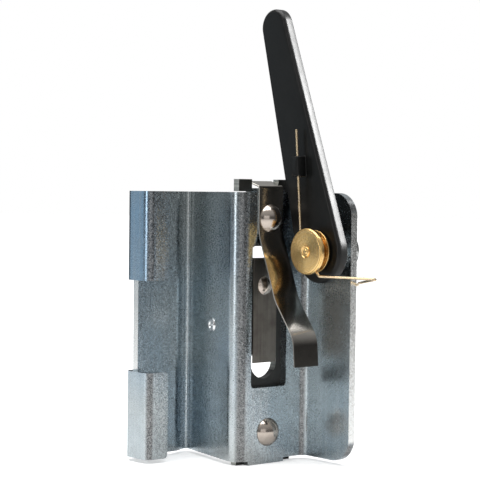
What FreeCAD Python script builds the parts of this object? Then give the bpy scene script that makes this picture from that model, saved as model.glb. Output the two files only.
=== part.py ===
import FreeCAD
import Part
import Sketcher
import math
import os

# Channel-mounted lock with a sprung hand lever.  Millimetres, +Z up.
# Origin: foot of the lock, on the centre plane of the latch (Y = 0), inside the slotted wall.
# +X points along the flange, away from the slotted wall; the flange's face looks towards -Y.

DIMENSIONS = {
    # formed sheet bracket
    "gauge": 3.0,
    "foot_drop": 1.5,
    "bracket_height": 99.5,
    "bend_inner": 1.2,
    "bend_outer": 4.2,
    "ridge_bend_inner": 2.0,
    "ridge_bend_outer": 5.0,
    "flange_bend_inner": 3.0,
    "flange_bend_outer": 6.0,
    "hook_bend_inner": 0.6,
    "hook_bend_outer": 3.6,
    "flange_reach": 26.4,
    "flange_face": 18.0,
    "flange_corner": 9.0,
    "wall_face": 1.7,
    "ridge_face": -16.0,
    "valley_x": -37.2,
    "valley_y": -8.1,
    "channel_wall": -33.6,
    "channel_start": -15.7,
    "hook_floor": -35.5,
    "hook_lip": -25.0,
    "hook_lip_end": -28.8,
    "channel_edge": -34.4,
    "hook_low_height": 32.2,
    "hook_high_height": 33.2,
    "slot_left": -8.5,
    "slot_right": 8.7,
    "slot_bottom": 28.5,
    "slot_top": 81.1,
    "slot_corner": 1.5,
    "tab_left": -6.9,
    "tab_right": 6.9,
    "tab_rise": 1.5,
    "foot_tab_left": -9.5,
    "foot_tab_right": 7.8,
    # back plate
    "plate_left": -7.0,
    "plate_right": 13.4,
    "plate_head_left": -12.8,
    "plate_head_bottom": 101.3,
    "plate_head_top": 105.8,
    "plate_foot_top": 1.4,
    "notch_half": 6.5,
    "notch_bottom": 101.7,
    "window_half": 5.8,
    "window_bottom": 76.5,
    "window_top": 84.0,
    "hole_radius": 6.25,
    "hole_height": 37.8,
    # leaf spring
    "leaf_gauge": 0.5,
    "leaf_width": 11.8,
    "leaf_flex_line": 86.0,
    "flex_gap": 0.12,
    "leaf_crest": 103.3,
    "leaf_tail_x": -4.6,
    "leaf_tail_height": 105.2,
    "leaf_crest_bend": 0.8,
    "leaf_knee_out": 9.6,
    "leaf_knee_drop": 24.5,
    "leaf_knee_bend": 14.0,
    "leaf_heel_out": 19.7,
    "leaf_heel_drop": 37.6,
    "leaf_heel_bend": 10.0,
    "leaf_end_out": 20.5,
    "leaf_end_drop": 48.0,
    # keeper leaf
    "keeper_gauge": 0.7,
    "keeper_width": 11.3,
    "keeper_bottom": 37.5,
    "keeper_top": 76.3,
    "keeper_flex_line": 62.0,
    # rivets
    "rivet_shank": 3.0,
    "rivet_head": 5.2,
    "rivet_dome": 3.2,
    "rivet_tail": 4.4,
    "rivet_tail_dome": 1.8,
    "upper_rivet_height": 91.4,
    "lower_rivet_height": 11.7,
    "keeper_rivet_shank": 2.0,
    "keeper_rivet_head": 3.7,
    "keeper_rivet_dome": 1.9,
    "keeper_rivet_tail": 3.2,
    "keeper_rivet_tail_dome": 1.4,
    "keeper_rivet_height": 66.4,
    "wall_rivet_shank": 2.2,
    "wall_rivet_head": 3.2,
    "wall_rivet_dome": 0.55,
    "wall_rivet_tail": 4.4,
    "wall_rivet_tail_dome": 2.0,
    "wall_rivet_x": -17.0,
    "wall_rivet_height": 51.0,
    # lever and what turns with it
    "pivot_x": 19.5,
    "pivot_height": 79.6,
    "lever_face": 7.3,
    "lever_depth": 4.3,
    "lever_skin": 1.4,
    "lever_base_radius": 11.8,
    "lever_tip_radius": 6.7,
    "lever_reach": 87.7,
    "lever_lean": 17.3,
    "lever_edge_round": 1.4,
    "bush_radius": 5.0,
    "bush_bore": 3.05,
    "lug_width": 4.0,
    "lug_height": 7.4,
    "lug_front": 3.4,
    "lug_round": 0.35,
    "lug_hole": 0.8,
    "lug_centre": 110.7,
    "lug_spigot": 1.2,
    # pivot stack
    "pin_radius": 3.0,
    "pin_neck": 1.8,
    "pin_nose": 0.35,
    "pin_nose_cut": 0.4,
    "pin_tail_radius": 5.2,
    "pin_tail_dome": 2.2,
    "pin_tail_bevel": 1.0,
    "pin_tail_cut": 1.6,
    "spacer_radius": 6.0,
    "spacer_gap": 0.3,
    "washer_outer": 6.6,
    "washer_gauge": 0.5,
    "rear_washer_outer": 7.0,
    "rear_washer_gauge": 1.0,
    "spool_front": 1.6,
    "spool_radius": 8.5,
    "spool_front_flange": 1.65,
    "spool_groove": 2.5,
    "spool_back_flange": 0.75,
    "spool_back_step": 0.6,
    "spool_groove_radius": 5.3,
    "spool_chamfer": 0.45,
    # torsion spring
    "wire_radius": 0.5,
    "coil_radius": 6.1,
    "coil_step": 1.35,
    "coil_ease": 20.0,
    "coil_gap": 0.05,
    "leg_lean": 4.5,
    "leg_top": 124.3,
    "tip_x": 46.0,
    "tip_y": 12.0,
    "tip_height": 70.5,
    "exit_run": 2.6,
    "exit_reach": 5.2,
    "exit_forward": 0.1,
    "exit_rise": 0.2,
    "edge_gap": 0.8,
    "edge_swing": 1.6,
    "edge_depth": 1.4,
    "edge_drop": 2.4,
    "hook_gap": 0.4,
    "hook_drop": 3.3,
    "hook_reach": 5.5,
    "hook_end_drop": 3.6,
    "exit_bend": 1.2,
    "tip_bend": 0.75,
    "edge_bend": 1.0,
    "hook_bend": 0.9,
}

NEAR = 0.02           # how close an edge's middle is to a place that names it
ARC_SHARE = 0.49      # share of a run that the arc at its end may take
COIL_RUNS = 15        # straight runs under the coil's arcs

doc = FreeCAD.newDocument("lock")
sheet = doc.addObject("Spreadsheet::Sheet", "dims")
for row, (alias, number) in enumerate(DIMENSIONS.items(), start=1):
    sheet.set("A%d" % row, alias)
    sheet.set("B%d" % row, str(number))
    sheet.setAlias("B%d" % row, alias)
doc.recompute()


class Size:
    """A length with the sheet expression that gives it, so sketches and features stay bound."""

    def __init__(self, number, text):
        self.number = number
        self.text = text

    def __add__(self, other):
        other = as_size(other)
        return Size(self.number + other.number, "(%s + %s)" % (self.text, other.text))

    def __sub__(self, other):
        other = as_size(other)
        return Size(self.number - other.number, "(%s - %s)" % (self.text, other.text))

    def __mul__(self, factor):
        return Size(self.number * factor, "(%s * %s)" % (self.text, factor))

    def __neg__(self):
        return Size(-self.number, "(-%s)" % self.text)


def as_size(value):
    return value if isinstance(value, Size) else Size(float(value), repr(float(value)))


def size(alias):
    return Size(float(sheet.get(alias)), "dims." + alias)


def number(alias):
    return float(sheet.get(alias))


def bind(feature, prop, value):
    feature.setExpression(prop, as_size(value).text)


# ---------------------------------------------------------------- sketch helpers

def new_body(label):
    body = doc.addObject("PartDesign::Body", label)
    body.Label = label
    return body


def new_sketch(body, name, role, offset=0.0):
    """A sketch on one of the body's origin planes, moved along that plane's normal."""
    plane = [item for item in body.Origin.OriginFeatures if item.Role == role][0]
    sketch = body.newObject("Sketcher::SketchObject", body.Name + "_" + name)
    sketch.AttachmentSupport = [(plane, "")]
    sketch.MapMode = "FlatFace"
    bind(sketch, ".AttachmentOffset.Base.z", offset)
    return sketch


def fix_point(sketch, index, end, x, y):
    """Hold one end of a sketch line or arc at sheet-driven coordinates."""
    x = as_size(x)
    y = as_size(y)
    for kind, value in (("DistanceX", x), ("DistanceY", y)):
        constraint = sketch.addConstraint(Sketcher.Constraint(kind, -1, 1, index, end, value.number))
        sketch.setExpression("Constraints[%d]" % constraint, value.text)


def vector(x, y):
    return FreeCAD.Vector(as_size(x).number, as_size(y).number, 0)


def polygon(sketch, points):
    """A closed outline of straight lines through sheet-driven points."""
    count = len(points)
    lines = []
    for i in range(count):
        start = vector(*points[i])
        end = vector(*points[(i + 1) % count])
        lines.append(sketch.addGeometry(Part.LineSegment(start, end), False))
    for i in range(count):
        following = lines[(i + 1) % count]
        sketch.addConstraint(Sketcher.Constraint("Coincident", lines[i], 2, following, 1))
        fix_point(sketch, lines[i], 1, *points[i])
    return lines


def rectangle(sketch, left, right, bottom, top):
    return polygon(sketch, [(left, bottom), (right, bottom), (right, top), (left, top)])


def rounded_rectangle(sketch, left, right, bottom, top, radius):
    """Four lines joined by four equal tangent arcs."""
    r = radius.number
    x0, x1, y0, y1 = (as_size(v).number for v in (left, right, bottom, top))
    sides = [((x0 + r, y0), (x1 - r, y0)), ((x1, y0 + r), (x1, y1 - r)),
             ((x1 - r, y1), (x0 + r, y1)), ((x0, y1 - r), (x0, y0 + r))]
    centres = [(x1 - r, y0 + r), (x1 - r, y1 - r), (x0 + r, y1 - r), (x0 + r, y0 + r)]
    lines = []
    arcs = []
    for i in range(4):
        lines.append(sketch.addGeometry(Part.LineSegment(vector(*sides[i][0]), vector(*sides[i][1]))))
        circle = Part.Circle(vector(*centres[i]), FreeCAD.Vector(0, 0, 1), r)
        start = (i - 1) * math.pi / 2
        arcs.append(sketch.addGeometry(Part.ArcOfCircle(circle, start, start + math.pi / 2)))
    for i in range(4):
        sketch.addConstraint(Sketcher.Constraint("Tangent", lines[i], 2, arcs[i], 1))
        sketch.addConstraint(Sketcher.Constraint("Tangent", arcs[i], 2, lines[(i + 1) % 4], 1))
        sketch.addConstraint(Sketcher.Constraint("Horizontal" if i % 2 == 0 else "Vertical", lines[i]))
        if i:
            sketch.addConstraint(Sketcher.Constraint("Equal", arcs[0], arcs[i]))
    held = [("DistanceY", lines[0], bottom), ("DistanceX", lines[1], right),
            ("DistanceY", lines[2], top), ("DistanceX", lines[3], left)]
    for kind, line, value in held:
        value = as_size(value)
        constraint = sketch.addConstraint(Sketcher.Constraint(kind, -1, 1, line, 1, value.number))
        sketch.setExpression("Constraints[%d]" % constraint, value.text)
    constraint = sketch.addConstraint(Sketcher.Constraint("Radius", arcs[0], r))
    sketch.setExpression("Constraints[%d]" % constraint, radius.text)


def circle(sketch, x, y, radius):
    x = as_size(x)
    y = as_size(y)
    radius = as_size(radius)
    shape = Part.Circle(vector(x, y), FreeCAD.Vector(0, 0, 1), radius.number)
    index = sketch.addGeometry(shape)
    fix_point(sketch, index, 3, x, y)
    constraint = sketch.addConstraint(Sketcher.Constraint("Radius", index, radius.number))
    sketch.setExpression("Constraints[%d]" % constraint, radius.text)


def offset_vertices(points, gauge):
    """Corners of the parallel polyline that lies one gauge to the right of the given one."""
    count = len(points)
    normals = []
    for i in range(count - 1):
        run = points[i + 1] - points[i]
        run.normalize()
        normals.append(FreeCAD.Vector(run.y, -run.x, 0))
    corners = [points[0] + normals[0] * gauge]
    for i in range(1, count - 1):
        mean = normals[i - 1] + normals[i]
        corners.append(points[i] + mean * (2 * gauge / mean.Length ** 2))
    corners.append(points[-1] + normals[-1] * gauge)
    return corners


def bent_strip(sketch, face, gauge):
    """Section of a bent sheet: its face as a polyline, and its back parallel to it on the right.
    Returns the face's and the back's corners."""
    front = [vector(*point) for point in face]
    back = offset_vertices(front, gauge.number)
    runs = range(len(face) - 1)
    front_lines = [sketch.addGeometry(Part.LineSegment(front[i], front[i + 1])) for i in runs]
    back_lines = [sketch.addGeometry(Part.LineSegment(back[i], back[i + 1])) for i in runs]
    start_cap = sketch.addGeometry(Part.LineSegment(front[0], back[0]))
    end_cap = sketch.addGeometry(Part.LineSegment(front[-1], back[-1]))
    for i in runs:
        fix_point(sketch, front_lines[i], 1, *face[i])
        if i:
            for lines in (front_lines, back_lines):
                joined = Sketcher.Constraint("Coincident", lines[i - 1], 2, lines[i], 1)
                sketch.addConstraint(joined)
    fix_point(sketch, front_lines[-1], 2, *face[-1])
    sketch.addConstraint(Sketcher.Constraint("Coincident", start_cap, 1, front_lines[0], 1))
    sketch.addConstraint(Sketcher.Constraint("Coincident", start_cap, 2, back_lines[0], 1))
    sketch.addConstraint(Sketcher.Constraint("Coincident", end_cap, 1, front_lines[-1], 2))
    sketch.addConstraint(Sketcher.Constraint("Coincident", end_cap, 2, back_lines[-1], 2))
    sketch.addConstraint(Sketcher.Constraint("Perpendicular", start_cap, front_lines[0]))
    sketch.addConstraint(Sketcher.Constraint("Perpendicular", end_cap, front_lines[-1]))
    for i in runs:
        sketch.addConstraint(Sketcher.Constraint("Parallel", front_lines[i], back_lines[i]))
        spacing = Sketcher.Constraint("Distance", front_lines[i], 1, back_lines[i], gauge.number)
        constraint = sketch.addConstraint(spacing)
        sketch.setExpression("Constraints[%d]" % constraint, gauge.text)
    return front, back


# ---------------------------------------------------------------- feature helpers

def pad(body, sketch, length, reverse=False, midplane=False):
    feature = body.newObject("PartDesign::Pad", sketch.Name + "_pad")
    feature.Profile = sketch
    bind(feature, "Length", length)
    feature.Reversed = reverse
    feature.Midplane = midplane
    doc.recompute()
    return feature


def pocket(body, sketch, length, reverse=False, midplane=False):
    """Cut the sketch out of the body and make sure that something was cut."""
    before = body.Shape.Volume
    feature = body.newObject("PartDesign::Pocket", sketch.Name + "_cut")
    feature.Profile = sketch
    bind(feature, "Length", length)
    feature.Reversed = reverse
    feature.Midplane = midplane
    doc.recompute()
    if body.Shape.Volume >= before - 1e-6:
        raise RuntimeError(feature.Name + " removes nothing")
    return feature


def revolve(body, sketch, axis):
    feature = body.newObject("PartDesign::Revolution", sketch.Name + "_turn")
    feature.Profile = sketch
    feature.ReferenceAxis = (sketch, [axis])
    feature.Angle = 360
    doc.recompute()
    return feature


def edge_names(shape, wanted):
    """Names of the edges whose middle and direction satisfy the test."""
    names = []
    for index, edge in enumerate(shape.Edges, start=1):
        middle = edge.valueAt((edge.FirstParameter + edge.LastParameter) / 2)
        direction = edge.tangentAt((edge.FirstParameter + edge.LastParameter) / 2)
        if wanted(edge, middle, direction):
            names.append("Edge%d" % index)
    return names


def fillet(body, radius, wanted):
    base = body.Tip
    names = edge_names(base.Shape, wanted)
    if not names:
        raise RuntimeError("no edges to round on " + body.Label)
    feature = body.newObject("PartDesign::Fillet", body.Name + "_round")
    feature.Base = (base, names)
    bind(feature, "Radius", radius)
    doc.recompute()
    return feature


def upright_at(corners):
    """Test for upright edges that stand on any of the given plan corners."""
    def wanted(edge, middle, direction):
        upright = abs(direction.z) > 0.99
        return upright and any(math.hypot(middle.x - c.x, middle.y - c.y) < NEAR for c in corners)
    return wanted


def crosswise_at(corners):
    """Test for edges along Y at any of the given (X, Z) corners of a side profile."""
    def wanted(edge, middle, direction):
        across = abs(direction.y) > 0.99
        return across and any(math.hypot(middle.x - c.x, middle.z - c.y) < NEAR for c in corners)
    return wanted


# ---------------------------------------------------------------- shared sizes

GAUGE = size("gauge")
SHEET_FOOT = size("foot_drop")
SHEET_TOP = SHEET_FOOT + size("bracket_height")
WALL_FACE = size("wall_face")
WALL_BACK = WALL_FACE - GAUGE
PLATE_BACK = WALL_BACK - GAUGE
FLANGE_FACE = size("flange_face")
FLANGE_BACK = FLANGE_FACE + GAUGE
LEVER_BACK = size("lever_face") + size("lever_depth")
SPOOL_BACK = (size("spool_front") + size("spool_front_flange")
              + size("spool_groove") + size("spool_back_flange"))


def wall_direction():
    """Unit vector along the slanted wall, from the ridge to the valley."""
    run = FreeCAD.Vector(number("valley_x") - number("wall_face"),
                         number("valley_y") - number("ridge_face"), 0)
    run.normalize()
    return run


# ---------------------------------------------------------------- bracket and plates

def make_bracket():
    """One sheet: flange, slotted wall, slanted wall, channel wall and two hooked ends."""
    body = new_body("bracket")
    plan = new_sketch(body, "plan", "XY_Plane", SHEET_FOOT)
    face = [
        (size("flange_reach"), FLANGE_FACE),
        (WALL_FACE, FLANGE_FACE),
        (WALL_FACE, size("ridge_face")),
        (size("valley_x"), size("valley_y")),
        (size("channel_wall"), size("channel_start")),
        (size("channel_wall"), size("hook_floor")),
        (size("hook_lip"), size("hook_floor")),
        (size("hook_lip"), size("hook_lip_end")),
    ]
    front, back = bent_strip(plan, face, GAUGE)
    pad(body, plan, size("bracket_height"))
    # corner 2 (the ridge) and corner 4 bulge towards the face, the others towards the back
    fillet(body, size("flange_bend_inner"), upright_at([front[1]]))
    fillet(body, size("flange_bend_outer"), upright_at([back[1]]))
    fillet(body, size("ridge_bend_inner"), upright_at([back[2]]))
    fillet(body, size("ridge_bend_outer"), upright_at([front[2]]))
    fillet(body, size("bend_inner"), upright_at([front[3], back[4]]))
    fillet(body, size("bend_outer"), upright_at([back[3], front[4]]))
    fillet(body, size("hook_bend_inner"), upright_at(front[5:7]))
    fillet(body, size("hook_bend_outer"), upright_at(back[5:7]))

    low = SHEET_FOOT + size("hook_low_height")
    high = SHEET_TOP - size("hook_high_height")
    margin = GAUGE * 2
    between = new_sketch(body, "between_hooks", "YZ_Plane", size("channel_wall") - margin)
    rectangle(between, size("hook_floor") - margin, size("channel_edge"), low, high)
    pocket(body, between, GAUGE * 10, reverse=True)
    lips = new_sketch(body, "between_lips", "YZ_Plane", size("hook_lip") - GAUGE)
    rectangle(lips, size("hook_floor") - margin, size("hook_lip_end") + GAUGE, low, high)
    pocket(body, lips, margin + GAUGE, reverse=True)

    slot = new_sketch(body, "slot", "YZ_Plane", WALL_FACE)
    rounded_rectangle(slot, size("slot_left"), size("slot_right"),
                      size("slot_bottom"), size("slot_top"), size("slot_corner"))
    circle(slot, 0.0, size("upper_rivet_height"), size("rivet_shank"))
    circle(slot, 0.0, size("lower_rivet_height"), size("rivet_shank"))
    pocket(body, slot, GAUGE + size("bend_inner"))

    pin_hole = new_sketch(body, "pin_hole", "XZ_Plane", -FLANGE_FACE)
    circle(pin_hole, size("pivot_x"), size("pivot_height"), size("pin_radius"))
    pocket(body, pin_hole, GAUGE)

    rivet_hole = new_sketch(body, "rivet_hole", "XZ_Plane")
    circle(rivet_hole, 0.0, 0.0, size("wall_rivet_shank"))
    rivet_hole.MapMode = "Deactivated"
    rivet_hole.Placement = wall_rivet_seat()
    pocket(body, rivet_hole, GAUGE * 3, midplane=True)

    tabs = new_sketch(body, "tabs", "YZ_Plane", WALL_FACE)
    rectangle(tabs, size("tab_left"), size("tab_right"), SHEET_TOP - GAUGE, SHEET_TOP + size("tab_rise"))
    rectangle(tabs, size("foot_tab_left"), size("foot_tab_right"), 0.0, SHEET_FOOT + GAUGE)
    pad(body, tabs, GAUGE, reverse=True)

    reach = number("flange_reach")
    ends = (SHEET_FOOT.number, SHEET_TOP.number)

    def flange_corner(edge, middle, direction):
        at_end = any(abs(middle.z - end) < NEAR for end in ends)
        return abs(direction.y) > 0.99 and abs(middle.x - reach) < NEAR and at_end

    fillet(body, size("flange_corner"), flange_corner)

    lip_x = number("hook_lip")

    def lip_corner(edge, middle, direction):
        on_lip = lip_x - NEAR < middle.x < lip_x + GAUGE.number + NEAR
        at_end = abs(middle.y - number("hook_lip_end")) < NEAR
        return on_lip and at_end and abs(direction.x) > 0.99

    fillet(body, size("slot_corner"), lip_corner)
    return body


def make_back_plate():
    """Flat plate behind the slotted wall, with a notched head and feet that grip its ends."""
    body = new_body("back_plate")
    outline = new_sketch(body, "outline", "YZ_Plane", WALL_BACK)
    left = size("plate_left")
    right = size("plate_right")
    head_left = size("plate_head_left")
    head_bottom = size("plate_head_bottom")
    head_top = size("plate_head_top")
    foot_top = size("plate_foot_top")
    notch = size("notch_half")
    polygon(outline, [
        (head_left, 0.0), (right, 0.0),
        (right, head_top), (notch, head_top), (notch, size("notch_bottom")),
        (-notch, size("notch_bottom")), (-notch, head_top), (head_left, head_top),
        (head_left, head_bottom), (left, head_bottom), (left, foot_top), (head_left, foot_top),
    ])
    pad(body, outline, GAUGE, reverse=True)
    openings = new_sketch(body, "openings", "YZ_Plane", WALL_BACK)
    half = size("window_half")
    rectangle(openings, -half, half, size("window_bottom"), size("window_top"))
    circle(openings, 0.0, size("hole_height"), size("hole_radius"))
    circle(openings, 0.0, size("upper_rivet_height"), size("rivet_shank"))
    circle(openings, 0.0, size("lower_rivet_height"), size("rivet_shank"))
    circle(openings, 0.0, size("keeper_rivet_height"), size("keeper_rivet_shank"))
    pocket(body, openings, GAUGE)
    return body


# ---------------------------------------------------------------- rivets and turned pieces

def arc_from_apex(sketch, apex, rim, rise, head_radius):
    """Dome edge from the apex on the axis (sketch H axis) to the rim; its centre is on the axis."""
    radius = (head_radius ** 2 + rise ** 2) / (2 * rise)
    centre_x = apex - math.copysign(radius, apex - rim)
    centre = FreeCAD.Vector(centre_x, 0, 0)
    rim_angle = math.atan2(head_radius, rim - centre_x)
    apex_angle = 0.0 if apex > centre_x else math.pi
    low, high = sorted((rim_angle, apex_angle))
    shape = Part.ArcOfCircle(Part.Circle(centre, FreeCAD.Vector(0, 0, 1), radius), low, high)
    index = sketch.addGeometry(shape)
    apex_end = 1 if apex_angle == low else 2
    sketch.addConstraint(Sketcher.Constraint("PointOnObject", index, 3, -1))
    return index, apex_end, 3 - apex_end


def make_rivet(label, names, front, back, placement):
    """Domed rivet: head proud of the front face, shank through the grip, domed tail behind.
    The sketch's H axis is the rivet's axis, with the head towards +."""
    shank, head, dome, tail, tail_dome = (size(name) for name in names)
    body = new_body(label)
    section = new_sketch(body, "section", "XY_Plane")
    head_apex = front + dome
    tail_apex = back - tail_dome
    head_arc, head_apex_end, head_rim_end = arc_from_apex(
        section, head_apex.number, front.number, dome.number, head.number)
    tail_arc, tail_apex_end, tail_rim_end = arc_from_apex(
        section, tail_apex.number, back.number, tail_dome.number, tail.number)
    stops = [(front, head), (front, shank), (back, shank), (back, tail)]
    lines = []
    for start, end in zip(stops[:-1], stops[1:]):
        lines.append(section.addGeometry(Part.LineSegment(vector(*start), vector(*end))))
    axis = section.addGeometry(Part.LineSegment(vector(tail_apex, 0.0), vector(head_apex, 0.0)))
    for first, second in zip(lines[:-1], lines[1:]):
        section.addConstraint(Sketcher.Constraint("Coincident", first, 2, second, 1))
    for line, stop in zip(lines, stops):
        fix_point(section, line, 1, *stop)
    fix_point(section, lines[-1], 2, *stops[-1])
    fix_point(section, axis, 1, tail_apex, 0.0)
    fix_point(section, axis, 2, head_apex, 0.0)
    section.addConstraint(Sketcher.Constraint("Coincident", head_arc, head_apex_end, axis, 2))
    section.addConstraint(Sketcher.Constraint("Coincident", head_arc, head_rim_end, lines[0], 1))
    section.addConstraint(Sketcher.Constraint("Coincident", tail_arc, tail_apex_end, axis, 1))
    section.addConstraint(Sketcher.Constraint("Coincident", tail_arc, tail_rim_end, lines[-1], 2))
    revolve(body, section, "H_Axis")
    body.Placement = placement
    return body


def at(x, y, z):
    return FreeCAD.Placement(FreeCAD.Vector(x, y, z), FreeCAD.Rotation())


RIVET = ("rivet_shank", "rivet_head", "rivet_dome", "rivet_tail", "rivet_tail_dome")
KEEPER_RIVET = ("keeper_rivet_shank", "keeper_rivet_head", "keeper_rivet_dome",
                "keeper_rivet_tail", "keeper_rivet_tail_dome")
WALL_RIVET = ("wall_rivet_shank", "wall_rivet_head", "wall_rivet_dome",
              "wall_rivet_tail", "wall_rivet_tail_dome")


def make_plate_rivets():
    leaf_face = WALL_FACE + size("leaf_gauge")
    keeper_face = WALL_BACK + size("keeper_gauge")
    make_rivet("upper_rivet", RIVET, leaf_face, PLATE_BACK, at(0, 0, number("upper_rivet_height")))
    make_rivet("lower_rivet", RIVET, WALL_FACE, PLATE_BACK, at(0, 0, number("lower_rivet_height")))
    make_rivet("keeper_rivet", KEEPER_RIVET, keeper_face, PLATE_BACK,
               at(0, 0, number("keeper_rivet_height")))


def wall_rivet_seat():
    """Frame on the slanted wall's face: local Z is the wall's outward normal."""
    run = wall_direction()
    x = number("wall_rivet_x")
    share = (x - number("wall_face")) / run.x
    point = FreeCAD.Vector(x, number("ridge_face") + share * run.y, number("wall_rivet_height"))
    outward = FreeCAD.Vector(run.y, -run.x, 0)
    if outward.y > 0:
        outward = -outward
    turn = FreeCAD.Rotation(FreeCAD.Vector(0, 0, 1), outward)
    return FreeCAD.Placement(point, turn)


def make_wall_rivet():
    seat = wall_rivet_seat()
    outward = seat.Rotation.multVec(FreeCAD.Vector(0, 0, 1))
    turn = FreeCAD.Rotation(FreeCAD.Vector(1, 0, 0), outward)
    placement = FreeCAD.Placement(seat.Base, turn)
    make_rivet("wall_rivet", WALL_RIVET, as_size(0.0), -GAUGE, placement)


def make_turned(label, outline):
    """A piece turned about the pivot axis.  The outline is (Y, radius) pairs."""
    body = new_body(label)
    section = new_sketch(body, "section", "XY_Plane")
    polygon(section, [(radius, y) for y, radius in outline])
    revolve(body, section, "V_Axis")
    body.Placement = at(number("pivot_x"), 0, number("pivot_height"))
    return body


def make_ring(label, start, end, outer, bore):
    return make_turned(label, [(start, bore), (end, bore), (end, outer), (start, outer)])


def make_pivot_pin():
    """Shouldered pin: neck through the spool, shank through the bushes, tail behind the flange."""
    nose = size("pin_nose")
    front = size("spool_front") - nose
    shank = size("pin_radius")
    neck = size("pin_neck")
    tail_start = FLANGE_BACK + size("rear_washer_gauge")
    tail_end = tail_start + size("pin_tail_dome")
    tail = size("pin_tail_radius")
    return make_turned("pivot_pin", [
        (front, 0.0), (front, neck - size("pin_nose_cut")), (front + nose, neck),
        (SPOOL_BACK, neck), (SPOOL_BACK, shank), (tail_start, shank), (tail_start, tail),
        (tail_end - size("pin_tail_bevel"), tail), (tail_end, tail - size("pin_tail_cut")),
        (tail_end, 0.0),
    ])


def make_spool():
    """Grooved disc that carries the spring's coil."""
    front = size("spool_front")
    rim = size("spool_radius")
    cut = size("spool_chamfer")
    groove = size("spool_groove_radius")
    groove_start = front + size("spool_front_flange")
    groove_end = groove_start + size("spool_groove")
    back_rim = rim - size("spool_back_step")
    neck = size("pin_neck")
    return make_turned("spool", [
        (front, neck), (front, rim - cut), (front + cut, rim), (groove_start, rim),
        (groove_start, groove), (groove_end, groove), (groove_end, back_rim),
        (SPOOL_BACK, back_rim), (SPOOL_BACK, neck),
    ])


def make_pivot_stack():
    make_pivot_pin()
    make_spool()
    pin = size("pin_radius")
    make_ring("front_washer", SPOOL_BACK, SPOOL_BACK + size("washer_gauge"), size("washer_outer"), pin)
    make_ring("spacer_bush", LEVER_BACK + size("spacer_gap"), FLANGE_FACE, size("spacer_radius"), pin)
    make_ring("rear_washer", FLANGE_BACK, FLANGE_BACK + size("rear_washer_gauge"),
              size("rear_washer_outer"), pin)
    make_ring("lever_bush", size("lever_face"), LEVER_BACK, size("bush_radius"), size("bush_bore"))


# ---------------------------------------------------------------- leaves

def make_strip(label, face, gauge, width, bends):
    """Bent strip, centred on Y = 0.  Its face is a polyline of (X, Z) points."""
    body = new_body(label)
    section = new_sketch(body, "section", "XZ_Plane")
    front, back = bent_strip(section, face, gauge)
    pad(body, section, width, midplane=True)
    for corner, radius, face_inside in bends:
        inner, outer = (front, back) if face_inside else (back, front)
        fillet(body, radius, crosswise_at([inner[corner]]))
        fillet(body, radius + gauge, crosswise_at([outer[corner]]))
    return body


def drill_strip(body, face, height, radius, depth):
    hole = new_sketch(body, "hole", "YZ_Plane", face)
    circle(hole, 0.0, height, radius)
    pocket(body, hole, depth)


def make_leaf_spring():
    """Seat riveted to the slotted wall, tail over the top, and the blade that flexes below it."""
    gauge = size("leaf_gauge")
    face = WALL_FACE + gauge
    flex = size("leaf_flex_line")
    seat = [(size("leaf_tail_x"), size("leaf_tail_height")), (face, size("leaf_crest")), (face, flex)]
    body = make_strip("leaf_spring_seat", seat, gauge, size("leaf_width"),
                      [(1, size("leaf_crest_bend"), False)])
    drill_strip(body, face, size("upper_rivet_height"), size("rivet_shank"), gauge * 2)
    blade = [
        (face, flex - size("flex_gap")),
        (face + size("leaf_knee_out"), flex - size("leaf_knee_drop")),
        (face + size("leaf_heel_out"), flex - size("leaf_heel_drop")),
        (face + size("leaf_end_out"), flex - size("leaf_end_drop")),
    ]
    make_strip("leaf_spring_blade", blade, gauge, size("leaf_width"),
               [(1, size("leaf_knee_bend"), True), (2, size("leaf_heel_bend"), False)])


def make_keeper_leaf():
    """Thin strip riveted to the back plate; its free end covers the upper half of the hole."""
    gauge = size("keeper_gauge")
    face = WALL_BACK + gauge
    flex = size("keeper_flex_line")
    seat = [(face, size("keeper_top")), (face, flex)]
    body = make_strip("keeper_leaf_seat", seat, gauge, size("keeper_width"), [])
    drill_strip(body, face, size("keeper_rivet_height"), size("keeper_rivet_shank"), gauge * 2)
    blade = [(face, flex - size("flex_gap")), (face, size("keeper_bottom"))]
    make_strip("keeper_leaf_blade", blade, gauge, size("keeper_width"), [])


# ---------------------------------------------------------------- lever

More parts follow.
